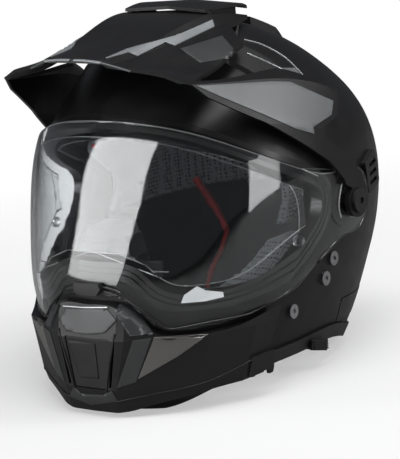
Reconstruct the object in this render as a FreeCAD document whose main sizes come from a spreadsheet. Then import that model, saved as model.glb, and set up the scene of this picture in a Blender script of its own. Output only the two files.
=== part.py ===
import FreeCAD, Part
import math
import os
from FreeCAD import Vector

# Dual sport helmet, in millimetres. +Z is up, +X is the wearer's left, -Y is the front.
# The helmet stands on its lower rim, and both hinges turn about the line through the side pivots.

os.makedirs("parts", exist_ok=True)
doc = FreeCAD.newDocument("DualSportHelmet")
sheet = doc.addObject("Spreadsheet::Sheet", "Sizes")

# Stations of the head form from the neck up: height, half width, front, rear, lean of the wall in
# degrees, and the power of the front curve, where 2 is an ellipse and more is squarer
STATIONS = {
    "skirt": (-30, 80, -112, 100, 0, 2.3),
    "neck": (0, 86, -122, 115, 0, 2.3),
    "collar": (25, 96, -128, 134, 0, 2.3),
    "jaw": (60, 107, -130, 152, 0, 2.3),
    "chin": (100, 116, -130, 169, 0, 2.2),
    "cheek": (140, 119, -123, 174, 0, 2.1),
    "temple": (180, 116, -112, 160, 8, 2.05),
    "brow": (215, 101, -94, 130, 25, 1.95),
    "forehead": (240, 81, -67, 98, 42, 1.85),
    "crown": (258, 60, -39, 65, 60, 1.85),
    "cap": (269, 34, -18, 36, 75, 2),
    "apex": (272.5, 8, 5, 15, 88, 2),
}
STATION_FIELDS = ("height", "half", "front", "rear", "lean", "power")

SIZES = {
    "widest_place": 15,
    "rear_power": 2.3,
    "centre_offset": 12.9,
    "shell_wall": 4,
    "foam_wall": 28,
    "cheek_foam_wall": 10,
    "liner_wall": 8,
    "layer_gap": 0.4,
    "running_gap": 0.4,
    "pivot_place": 36,
    "pivot_height": 130,
    "pivot_seat": 115,
    "pivot_seat_radius": 29,
    "pivot_plate_radius": 21,
    "pivot_plate_wall": 3,
    "pivot_boss_radius": 9,
    "pivot_boss_reach": 126,
    "peak_screw_radius": 4.5,
    "peak_screw_head_radius": 9.5,
    "peak_screw_head_wall": 2.6,
    "peak_screw_gap": 0.3,
    "peak_screw_play": 0.05,
    "peak_screw_driver_radius": 2.6,
    "peak_screw_driver_depth": 1.7,
    "visor_gap": 4.3,
    "visor_wall": 2.4,
    "gasket_width": 13,
    "gasket_proud": 1.6,
    "insert_gap": 0.4,
    "insert_wall": 1,
    "insert_inset": 7,
    "pin_radius": 4.2,
    "tab_reach": 5,
    "trim_wall": 2.2,
    "trim_rise": 9,
    "trim_drop": 2.2,
    "sun_radius": 138,
    "sun_side_radius": 100,
    "sun_half_width": 88,
    "sun_wall": 2.2,
    "sun_slot_gap": 2,
    "sun_top_angle": 118,
    "sun_edge_angle": 151,
    "sun_travel": 36,
    "sun_pin_radius": 4,
    "sun_pin_gap": 0.1,
    "peak_wall": 2.6,
    "guard_gap": 0.6,
    "guard_wall": 3,
    "stud_radius": 5.5,
    "stud_head": 2.4,
    "strap_place": 13,
    "strap_width": 22,
    "strap_wall": 2.4,
    "pad_wall": 26,
    "lever_wall": 2.4,
    "lever_gap": 1.5,
    "sun_hub_radius": 12,
    "retainer_radius": 13,
    "retainer_wall": 1.2,
    "peak_eye_radius": 13,
    "peak_eye_gap": 0.4,
    "wing_wall": 2.4,
    "latch_wall": 2.2,
    "flap_wall": 2.8,
    "grille_wall": 1.6,
    "curtain_wall": 1.4,
    "deflector_wall": 2,
    "crown_vent_rise": 3.2,
    "exhaust_rise": 4,
    "rear_vent_rise": 7,
    "rear_vent_slope": 33,
}


def fill_sheet():
    row = 1
    cells = dict(SIZES)
    for name, values in STATIONS.items():
        for field, value in zip(STATION_FIELDS, values):
            cells[name + "_" + field] = value
    for name, value in cells.items():
        cell = "A" + str(row)
        sheet.set(cell, str(value))
        sheet.setAlias(cell, name)
        row += 1
    doc.recompute()


fill_sheet()


def size(name):
    return float(getattr(sheet, name))


# Helpers for curves and solids

def polygon(points):
    return Part.makePolygon(list(points) + [points[0]])


def rounded(points, radius):
    """Closed flat outline through the points, with its corners rounded by tangent arcs."""
    count = len(points)
    corners = []
    for index, corner in enumerate(points):
        inward = points[index - 1] - corner
        outward = points[(index + 1) % count] - corner
        turn = math.pi - inward.getAngle(outward)
        if turn < 0.02:
            corners.append((corner, None, corner))
            continue
        back = min(radius * math.tan(turn / 2), 0.45 * min(inward.Length, outward.Length))
        reach = back / math.tan(turn / 2)
        first = corner + inward.normalize() * back
        last = corner + outward.normalize() * back
        bisector = (first + last) * 0.5 - corner
        depth = math.hypot(reach, back) - reach
        middle = corner + bisector.normalize() * depth
        corners.append((first, middle, last))
    edges = []
    for index, (first, middle, last) in enumerate(corners):
        if middle is not None:
            edges.append(Part.Arc(first, middle, last).toShape())
        edges.append(Part.makeLine(last, corners[(index + 1) % count][0]))
    return Part.Wire(edges)


def side_block(outline, half_width, radius=0, low=None):
    """Solid whose outline is given as (y, z) and which runs across the helmet."""
    start = -half_width if low is None else low
    points = [Vector(start, y, z) for y, z in outline]
    wire = rounded(points, radius) if radius else polygon(points)
    return Part.Face(wire).extrude(Vector(half_width - start, 0, 0))


def front_block(outline, front, rear, radius=0):
    """Solid whose outline is given as (x, z), mirrored on the middle plane, running front to rear."""
    half = [Vector(x, front, z) for x, z in outline]
    mirrored = [Vector(-x, front, z) for x, z in reversed(outline) if x > 0]
    wire = rounded(half + mirrored, radius) if radius else polygon(half + mirrored)
    return Part.Face(wire).extrude(Vector(0, rear - front, 0))


def top_block(outline, low, high, radius=0):
    """Solid whose outline is given as (x, y), mirrored on the middle plane, running upwards."""
    half = [Vector(x, y, low) for x, y in outline]
    mirrored = [Vector(-x, y, low) for x, y in reversed(outline) if x > 0]
    wire = rounded(half + mirrored, radius) if radius else polygon(half + mirrored)
    return Part.Face(wire).extrude(Vector(0, 0, high - low))


def box(x_low, x_high, y_low, y_high, z_low, z_high):
    return Part.makeBox(x_high - x_low, y_high - y_low, z_high - z_low, Vector(x_low, y_low, z_low))


def mirrored(shape):
    return shape.mirror(Vector(0, 0, 0), Vector(1, 0, 0))


def power_wave(value, exponent):
    return math.copysign(abs(value) ** exponent, value)


def form_section(name, grow):
    lean = math.radians(size(name + "_lean"))
    out = grow * math.cos(lean)
    height = size(name + "_height") + grow * math.sin(lean)
    half = size(name + "_half") + out
    middle = size("widest_place")
    points = []
    count = 16
    for index in range(count):
        angle = 2 * math.pi * index / count + math.pi / 2
        ahead = math.sin(angle)
        exponent = 2 / (size("rear_power") if ahead > 0 else size(name + "_power"))
        across = half * power_wave(math.cos(angle), exponent)
        reach = size(name + "_rear") + out - middle if ahead > 0 else middle - size(name + "_front") + out
        points.append(Vector(across, middle + reach * power_wave(ahead, exponent), height))
    curve = Part.BSplineCurve()
    curve.interpolate(points, PeriodicFlag=True)
    return Part.Wire(curve.toShape())


form_cache = {}


def form(grow):
    """The head form, grown outwards by a distance, as a solid."""
    if grow not in form_cache:
        sections = [form_section(name, grow) for name in STATIONS if grow > -25 or name != "apex"]
        form_cache[grow] = Part.makeLoft(sections, True, False)
    return form_cache[grow].copy()


# Outlines: the side ones are (y, z), from the front below, round the rear, to the front above;
# the front ones are the lower edge as (x, z) from the middle to the left

PORT_SIDE = [(-175, 60), (-110, 72), (-62, 85), (-38, 98), (-16, 115), (-2, 130), (0, 143), (-16, 156),
             (-40, 169), (-68, 187), (-98, 208), (-130, 219), (-175, 228)]
PORT_FRONT = [(0, 115), (20, 115), (36, 111), (49, 99), (62, 91), (80, 89), (96, 91), (108, 99),
              (118, 112), (140, 130)]
VISOR_SIDE = [(-175, 40), (-110, 54), (-70, 62), (-42, 71), (-18, 87), (0, 98), (20, 104.5), (40, 104.5),
              (56, 113), (62, 130), (56, 147), (40, 155.5), (20, 156), (-2, 159), (-28, 170),
              (-62, 190), (-98, 214), (-130, 226), (-175, 236)]
VISOR_FRONT = [(0, 91), (14, 91.5), (28, 89), (42, 77), (53, 67), (66, 64), (82, 64.5), (98, 67),
               (110, 75), (120, 92), (140, 112)]
GUARD_FRONT = [(0, 85.5), (14, 86), (26, 84), (40, 72.5), (51, 62.5), (65, 59.5), (82, 60), (98, 62.5),
               (110, 69), (140, 76)]
RIM_LINE = [(-190, 1.2), (-150, 1.2), (-127, 1.2), (-114, 2), (-105, 5.5), (-90, 13),
            (-66, 18.5), (-38, 20.5), (0, 21),
            (38, 19.5), (78, 8), (112, 1.6), (150, 1.4), (210, 1)]


def shifted(points, margin):
    """The points of a line moved to the right of their direction by a margin."""
    moved = []
    last = len(points) - 1
    for index, (first, second) in enumerate(points):
        before = points[max(index - 1, 0)]
        after = points[min(index + 1, last)]
        across = after[0] - before[0]
        along = after[1] - before[1]
        length = math.hypot(across, along)
        moved.append((first + margin * along / length, second - margin * across / length))
    return moved


def curved_face(line, corners):
    """Face bounded by a smooth curve through the line and by straight edges through the corners."""
    curve = Part.BSplineCurve()
    curve.interpolate(line)
    edges = [curve.toShape()]
    loop = [line[-1]] + corners + [line[0]]
    for start, end in zip(loop, loop[1:]):
        edges.append(Part.makeLine(start, end))
    return Part.Face(Part.Wire(edges))


REACH = 160


def curved_side(points, corners, margin=0):
    line = [Vector(-REACH, y, z) for y, z in shifted(points, margin)]
    face = curved_face(line, [Vector(-REACH, y, z) for y, z in corners])
    return face.extrude(Vector(2 * REACH, 0, 0))


def curved_front(points, margin=0, rear=90):
    """Everything above a lower edge that is mirrored on the middle plane."""
    whole = [(-x, z) for x, z in reversed(points[1:])] + points
    line = [Vector(x, -200, z) for x, z in shifted(whole, margin)]
    top = 300
    face = curved_face(line, [Vector(line[-1].x, -200, top), Vector(line[0].x, -200, top)])
    return face.extrude(Vector(0, 200 + rear, 0))


def window(side_outline, front_outline, margin=0):
    """The solid that cuts the eye port or trims the visor, grown by a margin."""
    return curved_side(side_outline, [], margin).common(curved_front(front_outline, margin))


def over_rim(rise):
    """Everything above the rim line raised by a height."""
    return curved_side([(y, z + rise) for y, z in RIM_LINE], [(210, 330), (-190, 330)])


def above(height):
    return box(-200, 200, -250, 250, height, height + 400)


def between(y_low, y_high, z_low=-50, z_high=400):
    return box(-200, 200, y_low, y_high, z_low, z_high)


def side_rod(radius, x_low, x_high, y=None, z=None):
    """Round rod lying across the helmet on the left, at the pivot line unless told otherwise."""
    y = size("pivot_place") if y is None else y
    z = size("pivot_height") if z is None else z
    return Part.makeCylinder(radius, x_high - x_low, Vector(x_low, y, z), Vector(1, 0, 0))


def both_sides(shape):
    return shape.fuse(mirrored(shape))


pieces = {}
frame_shift = FreeCAD.Placement(Vector(0, -size("centre_offset"), 0), FreeCAD.Rotation())


def add_piece(name, shape):
    piece = doc.addObject("Part::Feature", name)
    piece.Label = name
    piece.Shape = shape
    finish_piece(name, piece)


def finish_piece(name, piece):
    piece.Placement = frame_shift.multiply(piece.Placement)
    pieces[name] = piece


wall = size("shell_wall")
gap = size("layer_gap")
foam_out = wall + gap
foam_in = wall + size("foam_wall")
cheek_in = wall + size("cheek_foam_wall")
port_cut = window(PORT_SIDE, PORT_FRONT, size("gasket_width"))
seat_x = size("pivot_seat")

# Outer shell

seat_boss = side_rod(size("pivot_seat_radius") + 2, seat_x - 5, seat_x)
seat_pocket = side_rod(size("pivot_seat_radius"), seat_x, seat_x + 20)
comm_block = side_block([(42, 27), (92, 24), (96, 44), (44, 48)], 200, 0, 0)
shell = form(0).cut(form(-wall)).common(over_rim(0)).fuse([seat_boss, mirrored(seat_boss)])
shell = shell.cut([port_cut, seat_pocket, mirrored(seat_pocket)])
comm_recess = form(6).cut(form(-1.4)).common(comm_block)
shell = shell.cut(comm_recess)
add_piece("outer_shell", shell)
comm_inner = side_block([(42.6, 27.6), (91.5, 24.7), (95.2, 43.5), (44.5, 47.3)], 200, 0, 0)
add_piece("comm_cover_left", form(0.3).cut(form(-1.4)).common(comm_inner))

# Rim trim

trim = form(size("trim_wall")).cut(form(-wall - size("trim_wall")))
trim = trim.common(above(0)).common(over_rim(-size("trim_drop"))).cut(over_rim(size("trim_rise")))
trim = trim.cut(form(0).cut(form(-wall)).common(over_rim(0)))
add_piece("rim_trim", trim)

# Foam liner with the slot where the sun visor swings

middle = Vector(0, size("pivot_place"), size("pivot_height"))


def sun_profile(grow):
    """Section of the sun visor and its arms in the plane through the hinge line."""
    half = size("sun_half_width")
    tall = size("sun_radius")
    low = size("sun_side_radius")
    wall_half = size("sun_wall") / 2 + grow
    arm_end = -14 - grow
    outer = Part.Arc(Vector(-half - wall_half, 0, low), Vector(0, 0, tall + wall_half),
                     Vector(half + wall_half, 0, low)).toShape()
    inner = Part.Arc(Vector(-half + wall_half, 0, low), Vector(0, 0, tall - wall_half),
                     Vector(half - wall_half, 0, low)).toShape()
    edges = [outer, inner]
    for side in (-1, 1):
        out = Vector(side * (half + wall_half), 0, low)
        inn = Vector(side * (half - wall_half), 0, low)
        out_end = Vector(side * (half + wall_half), 0, 0)
        inn_end = Vector(side * (half - wall_half), 0, 0)
        edges += [Part.makeLine(out, out_end), Part.makeLine(out_end, inn_end),
                  Part.makeLine(inn_end, inn)]
    wire = Part.Wire(Part.__sortEdges__(edges))
    return Part.Face(wire)


def sun_solid(grow, low_angle, high_angle):
    """Sweep of the section about the hinge line, from one angle above the rear to another."""
    face = sun_profile(grow)
    face.rotate(Vector(0, 0, 0), Vector(1, 0, 0), low_angle - 90)
    face.translate(middle)
    return face.revolve(middle, Vector(1, 0, 0), high_angle - low_angle)


sun = sun_solid(0, size("sun_top_angle"), size("sun_edge_angle"))
hub = side_rod(size("sun_hub_radius"), size("sun_half_width") - size("sun_wall") / 2,
               size("sun_half_width") + size("sun_wall") / 2)
sun = sun.fuse([hub, mirrored(hub)])
pin_hole = side_rod(size("sun_pin_radius") + size("sun_pin_gap"), 60, 110)
sun = sun.cut([pin_hole, mirrored(pin_hole)])
add_piece("sun_visor", sun)
sun_slot = sun_solid(size("sun_slot_gap"), size("sun_top_angle") - 2,
                     size("sun_edge_angle") + size("sun_travel") + 3)
slot_half = size("sun_wall") / 2 + size("sun_slot_gap")
hub_slot = side_rod(size("sun_hub_radius") + size("sun_slot_gap"), size("sun_half_width") - slot_half,
                    size("sun_half_width") + slot_half)
sun_slot = sun_slot.fuse([hub_slot, mirrored(hub_slot)])

foam_clear = side_rod(size("pivot_seat_radius") + 2.4, seat_x - 5.4, seat_x + 10)
foam = form(-foam_out).cut(form(-foam_in)).common(above(112))
foam_low = form(-foam_out).cut(form(-cheek_in)).common(box(-200, 200, -250, 250, 0, 112))
foam = foam.fuse(foam_low).common(over_rim(size("trim_rise") + gap))
foam = foam.cut(window(PORT_SIDE, PORT_FRONT, size("gasket_width") + 1))
foam = foam.cut(between(32, 300, -50, 30))
pin = side_rod(size("sun_pin_radius"), size("sun_half_width") - 6, size("sun_half_width") + 7)
pin_bore = side_rod(size("sun_pin_radius") + 0.05, 60, size("sun_half_width") + 7.2)
foam = foam.cut([foam_clear, mirrored(foam_clear), sun_slot, pin_bore, mirrored(pin_bore)])
add_piece("foam_liner", foam)
add_piece("sun_visor_pins", both_sides(pin))

# Comfort lining

liner = form(-foam_in - gap).cut(form(-foam_in - size("liner_wall"))).common(above(116))
liner = liner.cut(window(PORT_SIDE, PORT_FRONT, 6)).cut([sun_slot, pin_bore, mirrored(pin_bore)])
add_piece("crown_liner", liner)
pad = form(-cheek_in - gap).cut(form(-cheek_in - size("pad_wall")))
pad = pad.common(side_block([(-72, 26), (-66, 76), (-34, 92), (-12, 108), (24, 108), (28, 26)], 200, 8, 20))
add_piece("cheek_pad_left", pad)
add_piece("cheek_pad_right", mirrored(pad))
roll = form(-wall - size("trim_wall") - gap).cut(form(-42))
roll_outline = [(33, 16), (33, 29.6), (200, 29.6), (200, 5), (108, 5), (82, 9.5), (50, 16)]
roll = roll.common(side_block(roll_outline, 200, 2, -200))
add_piece("neck_roll", roll)

# Eye port gasket

gasket = form(size("gasket_proud")).cut(form(-8))
gasket = gasket.common(port_cut).cut(window(PORT_SIDE, PORT_FRONT))
for inset in (3.2, 7.2):
    ring = window(PORT_SIDE, PORT_FRONT, inset + 1.2).cut(window(PORT_SIDE, PORT_FRONT, inset))
    gasket = gasket.cut(ring.cut(form(size("gasket_proud") - 1.3)))
add_piece("eye_port_gasket", gasket)

# Side pivots: round parts on the pivot line, bound to the sheet

def pivot_rod(name, radius, start, reach, side):
    """Round rod on the pivot line, from one distance off the middle plane to another."""
    rod = doc.addObject("Part::Cylinder", name)
    rod.Placement = FreeCAD.Placement(Vector(), FreeCAD.Rotation(Vector(0, 1, 0), 90 * side))
    rod.setExpression("Radius", radius)
    rod.setExpression("Height", reach + " - (" + start + ")")
    rod.setExpression("Placement.Base.x", str(side) + " * (" + start + ")")
    rod.setExpression("Placement.Base.y", "Sizes.pivot_place - Sizes.centre_offset")
    rod.setExpression("Placement.Base.z", "Sizes.pivot_height")
    return rod


def joined(kind, name, first, second):
    """Boolean of two document objects."""
    result = doc.addObject("Part::" + kind, name)
    result.Base = first
    result.Tool = second
    return result


def keep_piece(name, piece):
    piece.Label = name
    pieces[name] = piece


PLATE_START = "Sizes.pivot_seat"
PLATE_END = PLATE_START + " + Sizes.pivot_plate_wall"
CAP_START = "Sizes.pivot_boss_reach"
CAP_END = CAP_START + " + Sizes.retainer_wall"
EYE_START = CAP_END + " + Sizes.peak_eye_gap"
HEAD_START = EYE_START + " + Sizes.peak_wall + Sizes.peak_screw_gap"
HEAD_END = HEAD_START + " + Sizes.peak_screw_head_wall"
SHANK_START = PLATE_START + " + Sizes.peak_screw_gap"
BORE_RADIUS = "Sizes.peak_screw_radius + Sizes.peak_screw_play"
DRIVER_START = HEAD_END + " - Sizes.peak_screw_driver_depth"
SIDES = {"left": 1, "right": -1}

screws = []
for side_name, side in SIDES.items():
    plate = pivot_rod("plate_disc_" + side_name, "Sizes.pivot_plate_radius", PLATE_START, PLATE_END, side)
    boss = pivot_rod("plate_boss_" + side_name, "Sizes.pivot_boss_radius", PLATE_START, CAP_START, side)
    bore = pivot_rod("plate_bore_" + side_name, BORE_RADIUS, SHANK_START, HEAD_END, side)
    plate = joined("Fuse", "plate_with_boss_" + side_name, plate, boss)
    keep_piece("pivot_plate_" + side_name, joined("Cut", "pivot_plate_" + side_name, plate, bore))
    cap = pivot_rod("retainer_disc_" + side_name, "Sizes.retainer_radius", CAP_START, CAP_END, side)
    cap_bore = pivot_rod("retainer_bore_" + side_name, BORE_RADIUS, PLATE_START, HEAD_END, side)
    keep_piece("visor_retainer_" + side_name, joined("Cut", "visor_retainer_" + side_name, cap, cap_bore))
    shank = pivot_rod("screw_shank_" + side_name, "Sizes.peak_screw_radius", SHANK_START, HEAD_END, side)
    head = pivot_rod("screw_head_" + side_name, "Sizes.peak_screw_head_radius", HEAD_START, HEAD_END, side)
    driver = pivot_rod("screw_driver_" + side_name, "Sizes.peak_screw_driver_radius", DRIVER_START,
                       HEAD_END + " + 1", side)
    screw = joined("Fuse", "screw_solid_" + side_name, shank, head)
    screws.append(joined("Cut", "screw_" + side_name, screw, driver))
keep_piece("peak_side_screws", joined("Fuse", "peak_side_screws", *screws))
doc.recompute()

# Visor

visor_out = size("visor_gap") + size("visor_wall")
visor_shape = window(VISOR_SIDE, VISOR_FRONT)
lens = form(visor_out).cut(form(size("visor_gap"))).common(visor_shape)
hole = side_rod(size("pivot_boss_radius") + size("running_gap"), 100, 140)
lens = lens.cut([hole, mirrored(hole)])
pin_way = Vector(0.956, -0.293, 0)
pin_line = Part.makeLine(Vector(0, -31, 114), Vector(200, -31, 114))
pin_x = pin_line.common(form(size("visor_gap"))).BoundBox.XMax
pin_start = Vector(pin_x, -31, 114) - pin_way * 1.7
pin_rod = Part.makeCylinder(size("pin_radius"), size("visor_wall") + 3, pin_start, pin_way)
pin_pair = both_sides(pin_rod)
lens = lens.cut(pin_pair)
add_piece("visor_lens", lens)
add_piece("anti_fog_pins", pin_pair)
tab_block = front_block([(0, 92), (9, 92), (13, 97), (11, 101), (0, 101)], -200, -90, 1)
tab = form(visor_out + size("tab_reach")).cut(form(visor_out)).common(tab_block)
add_piece("visor_lift_tab", tab)
insert_out = size("visor_gap") - size("insert_gap")
insert = form(insert_out).cut(form(insert_out - size("insert_wall")))
insert = insert.common(window(PORT_SIDE, PORT_FRONT, -size("insert_inset")))
insert = insert.common(between(-200, -22)).cut(pin_pair)
add_piece("anti_fog_insert", insert)


# Chin guard: a folded skin over the shell's chin, with its vent

GUARD_LEVELS = {
    0: [(0, -145), (19, -144.5), (22, -144), (29, -141), (33, -138.5), (62, -116), (84, -84), (98, -40)],
    22: [(0, -149), (20, -148.5), (24, -147.5), (31, -144), (35, -142), (72, -115), (94, -82), (106, -40)],
    60: [(0, -148.5), (27, -147), (33, -145), (40, -140.5), (52, -133.5), (86, -107), (105, -76), (114, -38)],
    90: [(0, -142), (27, -140.5), (33, -138), (40, -134.5), (54, -127.5), (88, -103), (108, -74), (118, -38)],
}


def guard_form(growth, low, high):
    """Folded outer form of the chin guard, grown by a distance, between two heights."""
    wires = []
    for height, half in GUARD_LEVELS.items():
        left = [Vector(max(x, 0), y, height) for x, y in shifted(half, growth)]
        left.append(Vector(left[-1].x, 0, height))
        right = [Vector(-p.x, p.y, height) for p in reversed(left) if p.x > 0.01]
        wires.append(polygon(left + right))
    solid = Part.makeLoft(wires, True, True)
    return solid.common(box(-200, 200, -250, 50, low, high))


guard_zone = curved_side([(-200, 2.5), (-160, 3), (-146, 3.5), (-134, 7.5), (-118, 12.5), (-98, 16),
                          (-78, 17.8), (-63, 19.2)], [(-62, 33), (-52, 68), (-49, 100), (-200, 100)])
below_visor = curved_front(GUARD_FRONT, 0, 20)
guard = guard_form(0, 3.5, 89).common(guard_zone).cut(below_visor)
inner_guard = guard_form(-size("guard_wall"), -1, 120)
inner_below = curved_front([(x, z - size("guard_wall")) for x, z in GUARD_FRONT], 0, 20)
inner_guard = inner_guard.cut(inner_below)
guard = guard.cut(inner_guard)
clear = form(size("guard_gap"))
trim_clear = form(size("trim_wall") + size("guard_gap")).cut(over_rim(size("trim_rise") + size("guard_gap")))
guard = guard.cut(clear).cut(trim_clear)
vent_hole = front_block([(0, 22), (14.5, 22), (21, 61), (0, 61)], -200, -135, 1.2)
slot_line = [Vector(x, -200, z) for x, z in ((17.8, 24), (20, 24), (26.6, 60), (24, 60))]
slot = Part.Face(polygon(slot_line)).extrude(Vector(0, 66, 0))
guard = guard.cut([vent_hole, slot, mirrored(slot)])
guard = max(guard.Solids, key=lambda solid: solid.Volume)
add_piece("chin_guard", guard)
flap_shape = front_block([(0, 22.6), (14, 22.6), (20.4, 60.4), (0, 60.4)], -200, -137, 1)
flap = guard_form(-0.8, 20, 62).cut(guard_form(-0.8 - size("flap_wall"), 10, 70)).common(flap_shape)
add_piece("chin_vent_flap", flap)
grille = box(-29, 29, -143.2, -143.2 + size("grille_wall"), 19, 64)
for index in range(7):
    level = 25 + 5.4 * index
    grille = grille.cut(box(-12, 12, -150, -130, level, level + 2.6))
grille = grille.cut(guard)
add_piece("chin_vent_grille", grille)

# Peak

PEAK_RIBS = {
    -142: [(0, 266), (24, 265), (27, 263), (44, 258), (66, 251), (83, 246), (91, 222), (95, 205)],
    -100: [(0, 270), (32, 268.5), (37, 264.5), (52, 260), (73, 252), (89, 245.5), (99, 215), (105, 196)],
    -60: [(0, 276.5), (38, 275), (43, 269), (58, 262), (76, 251), (96, 240), (109, 208), (116, 182)],
    -12: [(0, 281.5), (43, 280.5), (49, 272.5), (63, 265), (80, 257), (106, 233), (121.5, 198), (128, 160)],
    12: [(0, 279.5), (45, 277), (51, 270), (65, 262.5), (84, 252), (112, 226), (126, 188), (130, 150)],
    50: [(0, 275), (46, 272), (52, 264), (68, 254), (90, 240), (118, 207), (128.6, 165), (133, 118)],
}
PEAK_PLAN = [(0, -130), (27, -129), (91, -106), (150, -60), (150, 60), (119, 50), (110, 20), (98, -10),
             (94, -40), (88, -80), (84, -96), (79, -80), (74, -18), (52, -2), (46, 30), (0, 33)]
PEAK_SIDE = [(-160, 252), (-106, 247), (-94, 235), (-70, 220), (-50, 208), (-16, 183), (6, 166),
             (20, 150), (23, 136), (36, 117), (49, 130), (44, 150), (34, 161), (4, 187), (4, 193), (28, 197), (39, 210), (46, 320),
             (-160, 320)]


def peak_skin(drop):
    wires = []
    for place, half in PEAK_RIBS.items():
        line = [(-x, z) for x, z in reversed(half[1:])] + half
        moved = shifted(line, drop)
        wires.append([Vector(x, place, z) for x, z in moved])
    return wires


def peak_solid(top, bottom):
    """Folded skin of the peak between two depths below its outer face."""
    wires = []
    for upper, lower in zip(peak_skin(top), peak_skin(bottom)):
        wires.append(polygon(upper + lower[::-1]))
    return Part.makeLoft(wires, True, False)


peak = peak_solid(0, size("peak_wall"))
plan = top_block(PEAK_PLAN, 90, 320)
side = side_block(PEAK_SIDE, 200, 8, -200)
peak = peak.common(plan).common(side)
arm_inner = size("pivot_boss_reach") + size("retainer_wall") + size("peak_eye_gap")
eye = side_rod(size("peak_eye_radius"), arm_inner, arm_inner + size("peak_wall"))
eye_hole = side_rod(size("peak_screw_radius") + 0.4, 100, 160)
peak = peak.fuse([eye, mirrored(eye)])
keep_clear = side_rod(size("peak_eye_radius") + 0.5, 100, arm_inner)
head_clear = side_rod(size("peak_screw_head_radius") + 0.5, arm_inner + size("peak_wall"), 160)
peak = peak.cut([eye_hole, keep_clear, head_clear])
peak = peak.cut([mirrored(eye_hole), mirrored(keep_clear), mirrored(head_clear)])
add_piece("peak_shell", peak)

WING_RIBS = {
    -14: [(0, 285), (42, 284)],
    4: [(0, 286.5), (44, 284.5)],
    20: [(0, 286), (46, 283.5)],
    44: [(0, 280), (46, 276.5)],
}


def wing_solid(top, bottom):
    wires = []
    for place, half in WING_RIBS.items():
        line = [(-x, z) for x, z in reversed(half[1:])] + half
        upper = [Vector(x, place, z - top) for x, z in line]
        lower = [Vector(x, place, z - bottom) for x, z in line]
        wires.append(polygon(upper + lower[::-1]))
    return Part.makeLoft(wires, True, False)


wing_plan = top_block([(0, -8), (38, -13), (45, 20), (38, 42), (0, 40)], 200, 300)
wing = wing_solid(0, size("wing_wall")).common(wing_plan)
foot = both_sides(box(36, 40, -8, 24, 262, 290)).common(wing_solid(1, 30)).cut(peak_solid(0, 30))
wing = wing.fuse(foot).cut(peak)
add_piece("peak_wing", wing)

# Details on the shell

crown_plan = [(50, -16), (66, -4), (84, 7), (100, 15), (112, 21), (112, 4), (97, -9), (82, -16), (64, -24)]
crown_block = top_block(crown_plan, 195, 320).common(box(0, 250, -250, 250, 0, 400))
peak_clear = peak_solid(-1, size("peak_wall") + 0.8)
vent_skin = form(size("crown_vent_rise")).cut(form(0))
crown_vent = vent_skin.common(crown_block).cut(peak_clear)
crown_vent = max(crown_vent.Solids, key=lambda solid: solid.Volume)
add_piece("crown_vent_left", crown_vent)
crown_vent = vent_skin.common(mirrored(crown_block)).cut(peak_clear)
crown_vent = max(crown_vent.Solids, key=lambda solid: solid.Volume)
add_piece("crown_vent_right", crown_vent)
exhaust_block = side_block([(70, 126), (66, 152), (90, 158), (98, 130)], 200, 3, 0)
for index in range(3):
    low = 132 + 7 * index
    slot = side_block([(74, low), (74, low + 3.4), (90, low + 4.6), (90, low + 1.2)], 200, 0, 0)
    exhaust_block = exhaust_block.cut(slot.cut(form(1)))
exhaust_skin = form(size("exhaust_rise")).cut(form(0))
add_piece("side_exhaust_left", exhaust_skin.common(exhaust_block))
exhaust_block = mirrored(exhaust_block)
add_piece("side_exhaust_right", exhaust_skin.common(exhaust_block))
rear_block = top_block([(0, 62), (26, 62), (34, 84), (24, 108), (0, 112)], 190, 320)
housing = form(size("rear_vent_rise")).cut(form(0)).common(rear_block)
slope = size("rear_vent_slope")
seat_point = Vector(0, 84, 250)


def on_slope(solid):
    solid.rotate(Vector(0, 0, 0), Vector(1, 0, 0), -slope)
    solid.translate(seat_point)
    return solid


track = on_slope(box(-14.4, 14.4, -8.4, 15, 3.2, 60))
housing = housing.cut(track)
add_piece("rear_vent_housing", housing)
slider = box(-14, 14, -8, 8, 3.5, 8).fuse([box(-10, 10, 2, 4, 8, 9.4), box(-10, 10, -3, -1, 8, 9.4)])
slider = on_slope(slider)
add_piece("rear_vent_slider", slider)


def surface_place(y, z, grow=0):
    """Where the left wall of the grown form lies at a place seen from the side."""
    line = Part.makeLine(Vector(0, y, z), Vector(200, y, z))
    return line.common(form(grow)).BoundBox.XMax


studs = []
for y, z in ((17, 88), (9, 74), (-27, 57)):
    x = surface_place(y, z)
    stud = side_rod(size("stud_radius"), x - 1.4, x + size("stud_head"), y, z)
    stud = stud.cut(side_rod(2.2, x + size("stud_head") - 1.2, x + 10, y, z))
    left_stud = stud.cut(form(0))
    right_stud = mirrored(stud).cut(form(0))
    studs += [left_stud, right_stud]
add_piece("side_studs", Part.makeCompound(studs))


# Guard latches on the lower rear corners of the chin guard, with two hooks under its edge

latch_outline = [(-77, 35), (-58, 36.5), (-56.5, 17.8), (-60, 17.2), (-61.5, 21), (-73, 22), (-74, 18.6),
                 (-78, 19)]
latch_skin = guard_form(gap + size("latch_wall"), 5, 60).cut(guard_form(gap, 2, 70))
latch = latch_skin.common(side_block(latch_outline, 200, 1, 0))
add_piece("guard_latch_left", latch)
add_piece("guard_latch_right", mirrored(latch))

# Inside the chin

deflector = form(-cheek_in - gap).cut(form(-cheek_in - gap - size("deflector_wall")))
deflector = deflector.common(between(-200, -60, 84, 112))
deflector = deflector.common(box(-44, 44, -200, 0, 0, 200))
add_piece("breath_deflector", deflector)
curtain = form(-wall - size("trim_wall") - gap)
curtain = curtain.common(between(-200, -96, 8.4, 8.4 + size("curtain_wall")))
add_piece("chin_curtain", curtain)

# Chin strap and its buckle

pad_face = cheek_in + size("pad_wall") + gap
strap_face = pad_face + size("strap_wall") + 0.3
strap_front = size("strap_place") - size("strap_width") / 2
strap_rear = size("strap_place") + size("strap_width") / 2


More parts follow.
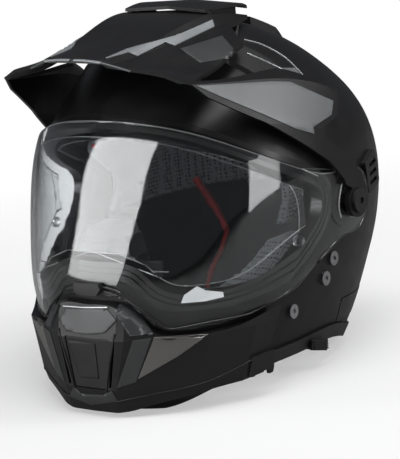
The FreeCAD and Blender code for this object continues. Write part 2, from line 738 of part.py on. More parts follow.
def on_strap(low, high, margin, radius):
    """Block that crosses the left strap, wider than it by a margin on each side."""
    front = strap_front - margin
    rear = strap_rear + margin
    return side_block([(front, low), (front, high), (rear, high), (rear, low)], 200, radius, 20)


strap = form(-pad_face).cut(form(-pad_face - size("strap_wall"))).common(on_strap(24, 96, 0, 0))
add_piece("strap_left", strap)
add_piece("strap_right", mirrored(strap))
buckle = form(-strap_face).cut(form(-strap_face - 6)).common(on_strap(28, 56, 2, 2))
add_piece("buckle_body", buckle)
lever = form(-strap_face - 6.5).cut(form(-strap_face - 8.5)).common(on_strap(30, 54, -2, 2))
add_piece("buckle_lever", lever)
teeth = form(-strap_face).cut(form(-strap_face - 3)).common(on_strap(28, 80, -5, 1))
add_piece("ratchet_strip", mirrored(teeth))

# Sun visor lever on the left rim

lever_inner = surface_place(10, 22, size("trim_wall")) + size("lever_gap")
lever_outer = lever_inner + size("lever_wall")
lever_body = side_block([(0.6, 26.4), (22, 21.2), (19.8, 12.4), (-0.7, 18.2)], lever_outer, 1.2, lever_inner)
lever_foot = side_block([(7, 17), (20.5, 16.4), (19.7, 12.6), (6, 16.4)], lever_inner + 1, 0, lever_inner - 9)
lever_body = lever_body.fuse(lever_foot)
for index in range(4):
    drop = 0.3 + 1.85 * index
    ridge = [(1.6, 25.4 - drop), (20.4, 20.8 - drop), (20.3, 19.8 - drop), (1.5, 24.4 - drop)]
    lever_body = lever_body.fuse(side_block(ridge, lever_outer + 1.1, 0, lever_outer - 0.2))
lever_body = lever_body.removeSplitter()
add_piece("sun_visor_lever", lever_body)


# Check every object, then write each piece to its file

doc.recompute()
faulty = [thing.Name for thing in doc.Objects if "Invalid" in thing.State or "Error" in thing.State]
faulty += [name for name, piece in pieces.items() if piece.Shape.isNull() or not piece.Shape.isValid()]
faulty += [name for name, piece in pieces.items() if not piece.Shape.Solids]
if faulty:
    raise RuntimeError("failed objects: " + ", ".join(faulty))
for name, piece in pieces.items():
    piece.Shape.exportStep("parts/" + name + ".step")
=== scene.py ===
import math
import bmesh
import bpy
from mathutils import Matrix, Vector
from mathutils.bvhtree import BVHTree


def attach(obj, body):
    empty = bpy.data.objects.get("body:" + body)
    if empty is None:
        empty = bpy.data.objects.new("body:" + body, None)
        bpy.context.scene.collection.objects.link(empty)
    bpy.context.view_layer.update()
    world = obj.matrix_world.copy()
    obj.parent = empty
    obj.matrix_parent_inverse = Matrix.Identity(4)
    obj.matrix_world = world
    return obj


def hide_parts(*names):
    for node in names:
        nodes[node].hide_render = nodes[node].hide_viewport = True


# Dresses the dual sport helmet: finishes for every carried node, padded linings, trims and beads.
# Lengths are metres, and a pixel is one of the photograph's 400 by 459.

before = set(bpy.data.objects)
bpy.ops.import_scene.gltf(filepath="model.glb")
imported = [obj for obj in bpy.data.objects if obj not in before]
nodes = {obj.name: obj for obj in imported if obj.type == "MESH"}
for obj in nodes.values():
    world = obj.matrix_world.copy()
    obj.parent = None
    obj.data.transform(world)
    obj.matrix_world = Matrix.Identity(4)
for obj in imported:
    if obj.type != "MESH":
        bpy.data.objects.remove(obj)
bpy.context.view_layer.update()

IMAGE_WIDTH, IMAGE_HEIGHT = 400, 459
LENS_MM, SENSOR_MM = 228.6, 36.0
CAMERA_PLACE = Vector((1.16522, -1.558886, 0.562763))
CAMERA_RIGHT = Vector((0.809017, 0.580549, -0.09195))
CAMERA_UP = Vector((-0.06144, 0.239102, 0.969049))
CAMERA_BACK = CAMERA_RIGHT.cross(CAMERA_UP)
FOCAL_PIXELS = LENS_MM / SENSOR_MM * IMAGE_WIDTH
CAMERA_AWAY = 1.95


# Camera, lamps, floor and backdrop

def make_camera():
    data = bpy.data.cameras.new("camera")
    data.lens, data.sensor_width, data.sensor_fit = LENS_MM, SENSOR_MM, "HORIZONTAL"
    data.clip_start, data.clip_end = 0.05, 50
    camera = bpy.data.objects.new("camera", data)
    turn = Matrix((CAMERA_RIGHT, CAMERA_UP, CAMERA_BACK)).transposed()
    camera.matrix_world = Matrix.Translation(CAMERA_PLACE) @ turn.to_4x4()
    bpy.context.scene.collection.objects.link(camera)
    bpy.context.scene.camera = camera


def lamp(name, place, aim, width, height, power, mirrored=True):
    """Soft box that no camera ray meets, and that gloss and glass show only if it is mirrored."""
    data = bpy.data.lights.new(name, "AREA")
    data.shape, data.size, data.size_y, data.energy = "RECTANGLE", width, height, power
    light = bpy.data.objects.new(name, data)
    light.location = place
    light.rotation_euler = (Vector(aim) - Vector(place)).to_track_quat("-Z", "Y").to_euler()
    light.visible_glossy = light.visible_transmission = mirrored
    light.visible_camera = False
    bpy.context.scene.collection.objects.link(light)


HEAD = (0, 0, 0.15)
bpy.context.scene.view_settings.view_transform = "Standard"
make_camera()
lamp("top_box", (0.5, -0.3, 2.1), HEAD, width=1.5, height=1.2, power=34)
lamp("right_box", (2.0, 0.9, 1.2), HEAD, width=0.8, height=1.2, power=22)
lamp("left_box", (-1.9, -1.3, 1.0), HEAD, width=0.6, height=1.2, power=12, mirrored=False)
lamp("front_fill", (0.3, -2.4, 0.3), HEAD, width=1.2, height=0.4, power=10, mirrored=False)
lamp("side_strip", (2.2, -0.02, 0.42), (0.1, -0.05, 0.16), width=0.85, height=0.8, power=7)


def shader_tree(material):
    material.use_nodes = True
    tree = material.node_tree
    return tree, tree.nodes, tree.links


def background_mix(tree, plain, seen):
    """Node output that is one shader for the camera, straight or through clear plastic, another elsewhere.

    Rays that clear plastic mirrors inside itself also end as transmission rays, and are left out.
    """
    path = tree.nodes.new("ShaderNodeLightPath")
    unmirrored = tree.nodes.new("ShaderNodeMath")
    unmirrored.operation = "LESS_THAN"
    unmirrored.inputs[1].default_value = 0.5
    tree.links.new(path.outputs["Glossy Depth"], unmirrored.inputs[0])
    through = tree.nodes.new("ShaderNodeMath")
    through.operation = "MULTIPLY"
    tree.links.new(path.outputs["Is Transmission Ray"], through.inputs[0])
    tree.links.new(unmirrored.outputs[0], through.inputs[1])
    either = tree.nodes.new("ShaderNodeMath")
    either.operation = "MAXIMUM"
    tree.links.new(path.outputs["Is Camera Ray"], either.inputs[0])
    tree.links.new(through.outputs[0], either.inputs[1])
    mix = tree.nodes.new("ShaderNodeMixShader")
    tree.links.new(either.outputs[0], mix.inputs[0])
    tree.links.new(plain, mix.inputs[1])
    tree.links.new(seen, mix.inputs[2])
    return mix.outputs[0]


def make_world():
    world = bpy.data.worlds.new("studio")
    bpy.context.scene.world = world
    world.use_nodes = True
    tree = world.node_tree
    plain = tree.nodes["Background"]
    plain.inputs["Color"].default_value = (0.9, 0.93, 1, 1)
    plain.inputs["Strength"].default_value = 0.1
    white = tree.nodes.new("ShaderNodeBackground")
    white.inputs["Strength"].default_value = 1
    mixed = background_mix(tree, plain.outputs[0], white.outputs[0])
    tree.links.new(mixed, tree.nodes["World Output"].inputs["Surface"])


def make_floor():
    bpy.ops.mesh.primitive_plane_add(size=12, location=(0, 0, 0))
    floor = bpy.context.active_object
    floor.name = "floor"
    material = bpy.data.materials.new("floor")
    tree, made, links = shader_tree(material)
    made["Principled BSDF"].inputs["Base Color"].default_value = (0.86, 0.86, 0.86, 1)
    made["Principled BSDF"].inputs["Roughness"].default_value = 0.9
    made["Principled BSDF"].inputs["Specular IOR Level"].default_value = 0
    glow = made.new("ShaderNodeEmission")
    glow.inputs["Strength"].default_value = 1
    blend = made.new("ShaderNodeMixShader")
    middle = made.new("ShaderNodeTexCoord")
    away = made.new("ShaderNodeVectorMath")
    away.operation = "LENGTH"
    links.new(middle.outputs["Object"], away.inputs[0])
    share = made.new("ShaderNodeMapRange")
    for socket, value in (("From Min", 0.15), ("From Max", 0.75), ("To Min", 0.45), ("To Max", 1.0)):
        share.inputs[socket].default_value = value
    links.new(away.outputs["Value"], share.inputs["Value"])
    links.new(share.outputs[0], blend.inputs[0])
    links.new(made["Principled BSDF"].outputs[0], blend.inputs[1])
    links.new(glow.outputs[0], blend.inputs[2])
    dull = made.new("ShaderNodeBsdfDiffuse")
    dull.inputs["Color"].default_value = (0.3, 0.3, 0.3, 1)
    mixed = background_mix(tree, dull.outputs[0], blend.outputs[0])
    links.new(mixed, made["Material Output"].inputs["Surface"])
    floor.data.materials.append(material)


make_world()
make_floor()


# Materials

def coordinates(tree, scale):
    place = tree.nodes.new("ShaderNodeTexCoord")
    mapping = tree.nodes.new("ShaderNodeMapping")
    mapping.inputs["Scale"].default_value = (scale, scale, scale)
    tree.links.new(place.outputs["Object"], mapping.inputs["Vector"])
    return mapping.outputs[0]


def add_bump(tree, height, strength, distance):
    bump = tree.nodes.new("ShaderNodeBump")
    bump.inputs["Strength"].default_value = strength
    bump.inputs["Distance"].default_value = distance
    tree.links.new(height, bump.inputs["Height"])
    tree.links.new(bump.outputs[0], tree.nodes["Principled BSDF"].inputs["Normal"])


def ramp(tree, value, low, high, low_at=0.0, high_at=1.0):
    node = tree.nodes.new("ShaderNodeValToRGB")
    node.color_ramp.elements[0].position, node.color_ramp.elements[1].position = low_at, high_at
    node.color_ramp.elements[0].color = (*low, 1)
    node.color_ramp.elements[1].color = (*high, 1)
    tree.links.new(value, node.inputs[0])
    return node.outputs[0]


def noise(tree, scale, detail=3):
    node = tree.nodes.new("ShaderNodeTexNoise")
    node.inputs["Scale"].default_value = 1
    node.inputs["Detail"].default_value = detail
    tree.links.new(coordinates(tree, scale), node.inputs["Vector"])
    return node.outputs["Fac"]


def moulded(name, colour, roughness, grain, grain_scale, metallic=0.0, specular=0.5):
    """Plastic, lacquer, rubber or metal with slight mottling and a fine grain."""
    material = bpy.data.materials.new(name)
    tree, made, links = shader_tree(material)
    surface = made["Principled BSDF"]
    surface.inputs["Metallic"].default_value = metallic
    surface.inputs["Specular IOR Level"].default_value = specular
    soft = noise(tree, 18)
    dark = tuple(c * 0.86 for c in colour)
    light = tuple(min(1, c * 1.14) for c in colour)
    links.new(ramp(tree, soft, dark, light, 0.3, 0.7), surface.inputs["Base Color"])
    rough = ramp(tree, noise(tree, 60), (roughness * 0.88,) * 3, (roughness * 1.12,) * 3, 0.3, 0.7)
    links.new(rough, surface.inputs["Roughness"])
    add_bump(tree, noise(tree, grain_scale, 2), grain, 0.0002)
    return material


def clear(name, colour, roughness):
    material = bpy.data.materials.new(name)
    tree, made, links = shader_tree(material)
    surface = made["Principled BSDF"]
    surface.inputs["Base Color"].default_value = (*colour, 1)
    surface.inputs["Transmission Weight"].default_value = 1
    surface.inputs["IOR"].default_value = 1.45
    scratch = ramp(tree, noise(tree, 90), (roughness,) * 3, (roughness * 2.2,) * 3, 0.4, 0.8)
    links.new(scratch, surface.inputs["Roughness"])
    return material


def knitted(name, light, dark, cell):
    """Knit with small open cells."""
    material = bpy.data.materials.new(name)
    tree, made, links = shader_tree(material)
    surface = made["Principled BSDF"]
    surface.inputs["Sheen Weight"].default_value = 0.35
    surface.inputs["Roughness"].default_value = 0.9
    holes = tree.nodes.new("ShaderNodeTexVoronoi")
    holes.inputs["Scale"].default_value = 1
    holes.inputs["Randomness"].default_value = 0.25
    links.new(coordinates(tree, cell), holes.inputs["Vector"])
    links.new(ramp(tree, holes.outputs["Distance"], dark, light, 0.22, 0.5), surface.inputs["Base Color"])
    add_bump(tree, holes.outputs["Distance"], 0.6, 0.0006)
    return material


def woven(name, colour, cell):
    """Woven webbing with diagonal ribs."""
    material = bpy.data.materials.new(name)
    tree, made, links = shader_tree(material)
    surface = made["Principled BSDF"]
    surface.inputs["Roughness"].default_value = 0.85
    surface.inputs["Sheen Weight"].default_value = 0.3
    wave = made.new("ShaderNodeTexWave")
    wave.bands_direction = "DIAGONAL"
    wave.inputs["Scale"].default_value = 1
    links.new(coordinates(tree, cell), wave.inputs["Vector"])
    dark = tuple(c * 0.55 for c in colour)
    links.new(ramp(tree, wave.outputs["Fac"], dark, colour), surface.inputs["Base Color"])
    add_bump(tree, wave.outputs["Fac"], 0.5, 0.0004)
    return material


MATERIALS = {
    "lacquer": moulded("lacquer", (0.0065, 0.0065, 0.007), 0.4, grain=0.05, grain_scale=3200,
                       specular=0.35),
    "peak_lacquer": moulded("peak_lacquer", (0.0065, 0.0065, 0.007), 0.4, grain=0.05, grain_scale=3200,
                            specular=0.35),
    "satin": moulded("satin", (0.008, 0.008, 0.0085), 0.4, grain=0.07, grain_scale=2600, specular=0.4),
    "grain": moulded("grain", (0.009, 0.009, 0.0095), 0.55, grain=0.35, grain_scale=1500, specular=0.4),
    "silver_paint": moulded("silver_paint", (0.27, 0.285, 0.295), 0.36, grain=0.04, grain_scale=3000,
                            metallic=0.2),
    # Pale grey; on the peak's side it paints the highlight of a lit facet.
    "pale_grey": moulded("pale_grey", (0.13, 0.137, 0.14), 0.36, grain=0.05, grain_scale=3000),
    "mid_grey": moulded("mid_grey", (0.04, 0.041, 0.042), 0.4, grain=0.06, grain_scale=2600),
    "slate_grey": moulded("slate_grey", (0.032, 0.034, 0.036), 0.36, grain=0.06, grain_scale=2600),
    "brushed_grey": moulded("brushed_grey", (0.2, 0.195, 0.185), 0.3, grain=0.05, grain_scale=2600,
                            metallic=0.7),
    "soft_rubber": moulded("soft_rubber", (0.014, 0.014, 0.015), 0.5, grain=0.2, grain_scale=1800),
    "shiny_rubber": moulded("shiny_rubber", (0.02, 0.02, 0.02), 0.22, grain=0.05, grain_scale=2400),
    "bead_foam": moulded("bead_foam", (0.01, 0.01, 0.011), 0.9, grain=0.2, grain_scale=260, specular=0.1),
    "polished": moulded("polished", (0.42, 0.42, 0.43), 0.26, grain=0.03, grain_scale=3000, metallic=1.0),
    # Light grey for beads that paint the thin highlights along edges of the chin guard, crown channels,
    # visor, insert and pivot.
    "painted_edge_highlight": moulded("painted_edge_highlight", (0.5, 0.51, 0.52), 0.25, grain=0.03, grain_scale=3000,
                           metallic=0.6),
    "red_piping": moulded("red_piping", (0.72, 0.02, 0.028), 0.6, grain=0.4, grain_scale=1600),
    "white_tag": moulded("white_tag", (0.78, 0.79, 0.8), 0.6, grain=0.2, grain_scale=1200),
    "lens": clear("lens", (0.97, 0.985, 0.99), 0.015),
    "insert": clear("insert", (0.96, 0.975, 0.98), 0.03),
    "smoke": clear("smoke", (0.32, 0.32, 0.34), 0.02),
    "pin_glass": clear("pin_glass", (0.75, 0.76, 0.78), 0.2),
    "grey_knit": knitted("grey_knit", (0.2, 0.21, 0.225), (0.015, 0.015, 0.017), cell=330),
    "dark_knit": knitted("dark_knit", (0.035, 0.036, 0.04), (0.01, 0.01, 0.012), cell=620),
    "webbing": woven("webbing", (0.035, 0.035, 0.038), cell=700),
}


def paint(piece, material):
    piece.data.materials.clear()
    piece.data.materials.append(MATERIALS[material])


NODE_FINISH = {
    "outer_shell": "lacquer", "rim_trim": "soft_rubber", "foam_liner": "bead_foam",
    "eye_port_gasket": "shiny_rubber", "visor_lens": "lens", "visor_lift_tab": "satin",
    "anti_fog_insert": "insert", "anti_fog_pins": "pin_glass", "sun_visor": "smoke",
    "sun_visor_pins": "polished", "comm_cover_left": "satin", "chin_guard": "satin",
    "chin_vent_flap": "satin", "chin_vent_grille": "grain", "peak_shell": "peak_lacquer",
    "peak_wing": "peak_lacquer", "side_studs": "polished", "breath_deflector": "soft_rubber",
    "buckle_lever": "polished",
}


def finish_nodes():
    for name, node in nodes.items():
        material = MATERIALS[NODE_FINISH.get(name, "grain")]
        for place in node.material_slots:
            place.link = "OBJECT"
            place.material = material


finish_nodes()


# Helpers that set pieces on the surfaces that carry them

def surface_of(*pieces):
    """Search tree over the meshes of nodes, given by name, and of built objects."""
    points, faces = [], []
    for piece in pieces:
        start = len(points)
        mesh = (nodes[piece] if isinstance(piece, str) else piece).data
        points += [v.co.copy() for v in mesh.vertices]
        faces += [[start + i for i in face.vertices] for face in mesh.polygons]
    return BVHTree.FromPolygons(points, faces)


def photo_ray(u, v):
    across = (u - IMAGE_WIDTH / 2) / FOCAL_PIXELS
    up = (IMAGE_HEIGHT / 2 - v) / FOCAL_PIXELS
    return (CAMERA_RIGHT * across + CAMERA_UP * up - CAMERA_BACK).normalized()


def photo_point(surface, u, v):
    """Point and outward normal where the photograph's ray meets a surface."""
    way = photo_ray(u, v)
    point, normal, _, _ = surface.ray_cast(CAMERA_PLACE, way)
    if point is None:
        point, normal, _, _ = surface.find_nearest(CAMERA_PLACE + way * CAMERA_AWAY)
    if normal.dot(way) > 0:
        normal = -normal
    return point, normal


def smooth_path(points, steps=6):
    """Points along a smooth curve through the given ones."""
    path = []
    count = len(points)
    for index in range(count - 1):
        p0 = Vector(points[max(index - 1, 0)])
        p1 = Vector(points[index])
        p2 = Vector(points[index + 1])
        p3 = Vector(points[min(index + 2, count - 1)])
        for step in range(steps):
            t = step / steps
            path.append(0.5 * (2 * p1 + (p2 - p0) * t + (2 * p0 - 5 * p1 + 4 * p2 - p3) * t * t
                               + (3 * p1 - p0 - 3 * p2 + p3) * t ** 3))
    path.append(Vector(points[-1]))
    return path


def link(piece, body):
    bpy.context.scene.collection.objects.link(piece)
    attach(piece, body)
    return piece


def bead(name, body, surface, radius, material, lift=0.0, both=True, smooth=True, beaded=False):
    """Round bead that lies on a surface along its traced line, and on the other side too."""
    traced = smooth_path(TRACED[name]) if smooth else [Vector(p) for p in TRACED[name]]
    line = []
    for pixel in traced:
        place, normal = photo_point(surface, pixel.x, pixel.y)
        line.append(place + normal * lift)
    curve = bpy.data.curves.new(name, "CURVE")
    curve.dimensions = "3D"
    curve.bevel_depth = radius
    curve.bevel_resolution = 2
    curve.use_fill_caps = True
    for side in ((1, -1) if both else (1,)):
        spline = curve.splines.new("POLY")
        spline.points.add(len(line) - 1)
        for index, (point, place) in enumerate(zip(spline.points, line)):
            point.co = (place.x * side, place.y, place.z, 1)
            if beaded and index % 2:
                point.radius = 0.45
    piece = bpy.data.objects.new(name, curve)
    curve.materials.append(MATERIALS[material])
    return link(piece, body)


def photo_panel(name, body, surface, rise, material, both=True, cell=4, edge=0.0005, sink=0.0002):
    """Thin raised panel over a surface, with its traced outline cut into cells that many pixels wide."""
    outline = TRACED[name]
    work = bmesh.new()
    work.faces.new([work.verts.new((u, v, 0)) for u, v in outline])
    low_u, high_u = min(p[0] for p in outline), max(p[0] for p in outline)
    low_v, high_v = min(p[1] for p in outline), max(p[1] for p in outline)
    for low, high, way in ((low_u, high_u, Vector((1, 0, 0))), (low_v, high_v, Vector((0, 1, 0)))):
        place = low + cell
        while place < high:
            whole = work.verts[:] + work.edges[:] + work.faces[:]
            bmesh.ops.bisect_plane(work, geom=whole, plane_co=way * place, plane_no=way)
            place += cell
    top = {}
    for vert in work.verts:
        place, normal = photo_point(surface, vert.co.x, vert.co.y)
        top[vert] = (place - normal * sink, normal)
    for vert, (place, normal) in top.items():
        vert.co = place
    bmesh.ops.recalc_face_normals(work, faces=work.faces[:])
    middle = sum((n for _, n in top.values()), Vector())
    total = sum((f.normal for f in work.faces), Vector())
    if total.dot(middle) < 0:
        bmesh.ops.reverse_faces(work, faces=work.faces[:])
    if both:
        copied = bmesh.ops.duplicate(work, geom=work.verts[:] + work.edges[:] + work.faces[:])["geom"]
        for vert in [g for g in copied if isinstance(g, bmesh.types.BMVert)]:
            vert.co.x = -vert.co.x
        bmesh.ops.reverse_faces(work, faces=[g for g in copied if isinstance(g, bmesh.types.BMFace)])
    mesh = bpy.data.meshes.new(name)
    work.to_mesh(mesh)
    work.free()
    piece = bpy.data.objects.new(name, mesh)
    thick = piece.modifiers.new("thickness", "SOLIDIFY")
    thick.thickness = rise + sink
    thick.offset = 1
    soft = piece.modifiers.new("edge", "BEVEL")
    soft.width = edge
    soft.segments = 2
    soft.limit_method = "ANGLE"
    for face in mesh.polygons:
        face.use_smooth = True
    mesh.materials.append(MATERIALS[material])
    return link(piece, body)


# Linings, pads and straps

def copied_solid(name, node):
    """New object with a node's closed mesh, its seams welded."""
    work = bmesh.new()
    work.from_mesh(nodes[node].data)
    bmesh.ops.remove_doubles(work, verts=work.verts[:], dist=0.00002)
    mesh = bpy.data.meshes.new(name)
    work.to_mesh(mesh)
    work.free()
    piece = bpy.data.objects.new(name, mesh)
    bpy.context.scene.collection.objects.link(piece)
    return piece


def apply_modifiers(piece):
    graph = bpy.context.evaluated_depsgraph_get()
    mesh = bpy.data.meshes.new_from_object(piece.evaluated_get(graph))
    piece.modifiers.clear()
    piece.data = mesh


HEAD_AXIS_Y = 0.004
HEAD_AXIS_Z = 0.15
EDGE_FACING = 0.35
CHANNEL_SHARE = 1.6


def crown_pad(piece, swell, channels=()):
    """Crowns the side of a pad that faces the head, and presses sewn channels into it."""
    mesh = piece.data
    facings = []
    for vert in mesh.vertices:
        inward = Vector((-vert.co.x, HEAD_AXIS_Y - vert.co.y, HEAD_AXIS_Z - vert.co.z)).normalized()
        facings.append((inward, vert.normal.dot(inward)))
    for vert, (inward, facing) in zip(mesh.vertices, facings):
        if facing < EDGE_FACING:
            continue
        push = swell * (facing - EDGE_FACING) / (1 - EDGE_FACING)
        for axis, place, width in channels:
            away = abs(vert.co[axis] - place) / width
            if away < 1:
                push -= CHANNEL_SHARE * swell * (1 - away * away) ** 2
        vert.co += inward * push


def make_pad(name, node, material, body="shell", voxel=0.0028, swell=0.0016, channels=()):
    pad = copied_solid(name, node)
    remesh = pad.modifiers.new("remesh", "REMESH")
    remesh.mode = "VOXEL"
    remesh.voxel_size = voxel
    soften = pad.modifiers.new("soften", "SMOOTH")
    soften.iterations = 6
    soften.factor = 0.5
    apply_modifiers(pad)
    crown_pad(pad, swell, channels)
    round_off = pad.modifiers.new("round_off", "SMOOTH")
    round_off.iterations = 3
    apply_modifiers(pad)
    for face in pad.data.polygons:
        face.use_smooth = True
    paint(pad, material)
    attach(pad, body)
    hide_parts(node)
    return pad


X_AXIS, Y_AXIS, Z_AXIS = 0, 1, 2
crown = make_pad("crown_pad", "crown_liner", "grey_knit",
                 channels=((Z_AXIS, 0.196, 0.004), (X_AXIS, 0.045, 0.003), (X_AXIS, -0.045, 0.003)))
cheek_left = make_pad("cheek_cushion_left", "cheek_pad_left", "grey_knit",
                      channels=((Z_AXIS, 0.062, 0.004), (Y_AXIS, -0.052, 0.003)))
cheek_right = make_pad("cheek_cushion_right", "cheek_pad_right", "grey_knit",
                       channels=((Z_AXIS, 0.062, 0.004), (Y_AXIS, -0.052, 0.003)))
make_pad("neck_cushion", "neck_roll", "dark_knit",
         channels=((X_AXIS, 0.03, 0.003), (X_AXIS, -0.03, 0.003)))


def make_band(name, node, material, width=0.0004):
    band = copied_solid(name, node)
    soft = band.modifiers.new("edge", "BEVEL")
    soft.width = width
    soft.segments = 2
    soft.limit_method = "ANGLE"
    paint(band, material)
    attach(band, "shell")
    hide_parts(node)
    return band


make_band("chin_net", "chin_curtain", "dark_knit")
make_band("strap_band_left", "strap_left", "webbing")
make_band("strap_band_right", "strap_right", "webbing")


# Surfaces that carry the small pieces

crown_face = surface_of("outer_shell", "crown_vent_left", "rear_vent_housing")
peak_face = surface_of("peak_shell", "peak_wing")
guard_face = surface_of("chin_guard")
flap_face = surface_of("chin_vent_flap")
visor_face = surface_of("visor_lens")
insert_face = surface_of("anti_fog_insert")
pivot_face = surface_of("visor_lens", "pivot_plate_left", "visor_retainer_left")
inner_face = surface_of(crown, cheek_left, cheek_right, "foam_liner")
port_face = surface_of(crown, cheek_left, cheek_right, "foam_liner", "eye_port_gasket", "breath_deflector")


# Lines and outlines as the photograph shows them, in pixels

def pixels(*values):
    return list(zip(values[::2], values[1::2]))


TRACED = {
    "guard_top_strip": pixels(64, 306, 85, 307.5, 108, 307.5),
    "guard_crease": pixels(116, 402, 150, 395, 200, 384, 235, 369, 270, 349),
    "guard_rib": pixels(115, 334, 110, 362, 106.5, 392),
    "guard_side_panel": pixels(154, 338, 209, 334, 178, 356, 138, 379),
    "guard_front_panel": pixels(133, 340.5, 151.5, 338, 136, 382, 117, 388),
    "guard_upper_panel": pixels(123, 300, 131, 302, 152, 334, 130, 336, 115, 312),
    "guard_dome": pixels(66, 308, 107, 309, 117, 321, 105, 333, 88, 335, 66, 331, 59, 319),
    "guard_lip": pixels(74, 386, 82, 394, 104, 395, 112, 391, 118, 401, 92, 405, 70, 396),
    "vent_plate": pixels(68, 340, 95, 344, 99, 379, 80, 377),
    "peak_stripe": pixels(106, 58.5, 128, 52.5, 137, 56.5, 165, 42.5, 174.5, 46, 214, 27, 212, 20,
                          178, 35, 127, 49.5),
    "peak_top_sheen_panel": pixels(180, 49, 222, 36, 240, 57, 200, 63),
    "peak_side_highlight_panel": pixels(196, 86, 272, 81.5, 290, 82, 333, 101, 331, 115, 313, 127, 314, 134,
                              296, 129, 262, 114, 228, 100),
    "peak_front_lip": pixels(74, 60.5, 86, 61, 101, 63),
    "peak_side_lip": pixels(101, 63, 130, 71.5, 160, 81, 178, 87.5),
    "channel_rim_outer": pixels(244, 40, 262, 45, 285, 58, 305, 78),
    "channel_rim_inner": pixels(247, 53.5, 262, 60, 281, 69),
    "channel_end": pixels(281, 68, 295, 68, 303, 78, 288, 78),
    "visor_lower_edge": pixels(66, 291, 95, 286.5, 117, 291, 126, 300, 150, 317, 166, 328, 177, 328.5,
                               205, 323, 250, 313.5, 283, 300, 297, 288, 311, 272, 326, 253, 344, 239),
    "visor_top_edge": pixels(100, 122, 125, 122, 160, 126, 200, 134, 240, 146, 280, 160, 318, 176),
    "insert_edge": pixels(93, 258, 118, 260, 140, 268, 158, 284, 178, 292, 215, 289, 255, 281,
                          282, 264, 295, 243, 298, 215, 292, 190, 270, 168, 235, 150, 190, 137,
                          150, 131, 106, 131),
    "pivot_scale": pixels(341, 217, 339, 206, 340, 194, 342, 184),
    "pivot_ring": pixels(363, 190, 365, 200, 362, 210, 355, 216, 348, 216),
    "red_edge_rear": pixels(195, 178, 205, 192, 216, 208, 228, 230),
    "red_edge_low": pixels(228, 230, 222, 250, 214, 266, 207, 288),
    "red_edge_front": pixels(64, 186, 81, 193),
    "lining_tag": pixels(181, 303, 184, 295, 197, 286, 205, 290, 223, 292, 224, 297, 205, 301),
    "left_card": pixels(97, 139, 158, 142, 140, 205, 116, 286, 66, 284, 78, 215),
    "low_card": pixels(150, 322, 162, 312, 176, 300, 178, 314, 170, 327),
}
MM = 0.001


# Chin guard details

# The chin guard's top strip is a light grey bead that paints the highlight along that edge.
bead("guard_top_strip", "chin_guard", guard_face, radius=0.9 * MM, material="painted_edge_highlight",
     lift=0.3 * MM, both=False)
bead("guard_crease", "chin_guard", guard_face, radius=0.7 * MM, material="satin",
     lift=0.1 * MM)
bead("guard_rib", "chin_guard", guard_face, radius=1.0 * MM, material="satin",
     lift=0.3 * MM, smooth=False)
photo_panel("guard_side_panel", "chin_guard", guard_face, rise=0.7 * MM, material="brushed_grey")
photo_panel("guard_front_panel", "chin_guard", guard_face, rise=0.7 * MM, material="mid_grey")
photo_panel("guard_upper_panel", "chin_guard", guard_face, rise=1.4 * MM, material="slate_grey",
            cell=2.5)
photo_panel("guard_dome", "chin_guard", guard_face, rise=0.8 * MM, material="slate_grey",
            both=False)
photo_panel("guard_lip", "chin_guard", guard_face, rise=0.6 * MM, material="mid_grey",
            both=False)
photo_panel("vent_plate", "chin_vent", flap_face, rise=0.6 * MM, material="satin",
            both=False)


# Peak details

photo_panel("peak_stripe", "peak", peak_face, rise=0.8 * MM, material="silver_paint", cell=3)
# The mid grey panel on the peak's top paints the broad sheen where light falls on it.
photo_panel("peak_top_sheen_panel", "peak", peak_face, rise=0.5 * MM, material="mid_grey")
# The pale grey panel on the peak's side paints the highlight where light falls on that facet.
photo_panel("peak_side_highlight_panel", "peak", peak_face, rise=0.6 * MM, material="pale_grey",
            cell=5)
bead("peak_front_lip", "peak", peak_face, radius=1.1 * MM, material="silver_paint")
bead("peak_side_lip", "peak", peak_face, radius=0.8 * MM, material="pale_grey")


# Crown air channels

# The channel rims are light grey beads that paint the highlights along the rims.
for rim in ("channel_rim_outer", "channel_rim_inner"):
    bead(rim, "shell", crown_face, radius=0.8 * MM, material="painted_edge_highlight", lift=0.2 * MM)
photo_panel("channel_end", "shell", crown_face, rise=0.5 * MM, material="pale_grey",
            cell=3)


# Visor edges, pivot scale and lining trims

bead("visor_lower_edge", "visor", visor_face, radius=0.9 * MM, material="shiny_rubber")
# The light grey beads on the visor's top edge, the insert's edge and the pivot's scale and ring paint the
# highlights along those edges.
bead("visor_top_edge", "visor", visor_face, radius=0.5 * MM, material="painted_edge_highlight")
bead("insert_edge", "visor", insert_face, radius=0.45 * MM, material="painted_edge_highlight")
bead("pivot_scale", "visor", pivot_face, radius=0.9 * MM, material="painted_edge_highlight",
     lift=-0.2 * MM, beaded=True)
bead("pivot_ring", "visor", pivot_face, radius=0.7 * MM, material="painted_edge_highlight",
     lift=0.3 * MM)
bead("red_edge_rear", "shell", inner_face, radius=3.0 * MM, material="red_piping",
     lift=0.8 * MM)
bead("red_edge_low", "shell", inner_face, radius=2.1 * MM, material="red_piping",
     lift=0.6 * MM)
bead("red_edge_front", "shell", inner_face, radius=1.8 * MM, material="red_piping",
     lift=0.6 * MM, both=False)


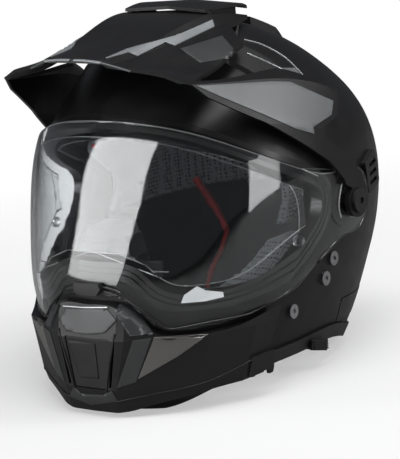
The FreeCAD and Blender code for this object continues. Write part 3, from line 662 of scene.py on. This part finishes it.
def flat_tag(name, body, surface, thickness, lift, material):
    """Thin flat piece that faces the camera, with its traced outline."""
    outline = TRACED[name]
    middle_u = sum(p[0] for p in outline) / len(outline)
    middle_v = sum(p[1] for p in outline) / len(outline)
    place, normal = photo_point(surface, middle_u, middle_v)
    facing = (CAMERA_BACK * 2 + normal).normalized()
    place = place + facing * lift
    work = bmesh.new()
    corners = []
    for u, v in outline:
        way = photo_ray(u, v)
        away = (place - CAMERA_PLACE).dot(facing) / way.dot(facing)
        corners.append(work.verts.new(CAMERA_PLACE + way * away))
    face = work.faces.new(corners)
    raised = bmesh.ops.extrude_face_region(work, geom=[face])["geom"]
    for vert in [g for g in raised if isinstance(g, bmesh.types.BMVert)]:
        vert.co -= facing * thickness
    bmesh.ops.recalc_face_normals(work, faces=work.faces[:])
    mesh = bpy.data.meshes.new(name)
    work.to_mesh(mesh)
    work.free()
    piece = bpy.data.objects.new(name, mesh)
    mesh.materials.append(MATERIALS[material])
    return link(piece, body)


flat_tag("lining_tag", "shell", port_face, thickness=0.8 * MM, lift=2.4 * MM, material="white_tag")


# Cards that the visor mirrors

CARD_AWAY = 1.6
SAMPLE_STEPS = (-4, -2, 0, 2, 4)


def mirror_card(name, surface, strength):
    """Bright card placed so that its image in a glossy surface fills its traced outline."""
    corners = []
    for u, v in TRACED[name]:
        points, normals = Vector(), Vector()
        for across in SAMPLE_STEPS:
            for down in SAMPLE_STEPS:
                point, normal = photo_point(surface, u + across, v + down)
                points += point / len(SAMPLE_STEPS) ** 2
                normals += normal
        way = photo_ray(u, v)
        normal = normals.normalized()
        corners.append(points + (way - 2 * way.dot(normal) * normal) * CARD_AWAY)
    mesh = bpy.data.meshes.new(name)
    mesh.from_pydata([tuple(c) for c in corners], [], [list(range(len(corners)))])
    card = bpy.data.objects.new(name, mesh)
    material = bpy.data.materials.new(name)
    tree, made, links = shader_tree(material)
    glow = made.new("ShaderNodeEmission")
    glow.inputs["Strength"].default_value = strength
    links.new(glow.outputs[0], made["Material Output"].inputs["Surface"])
    mesh.materials.append(material)
    bpy.context.scene.collection.objects.link(card)
    card.visible_camera = card.visible_diffuse = card.visible_shadow = False


mirror_card("left_card", visor_face, strength=4.6)
mirror_card("low_card", visor_face, strength=3)
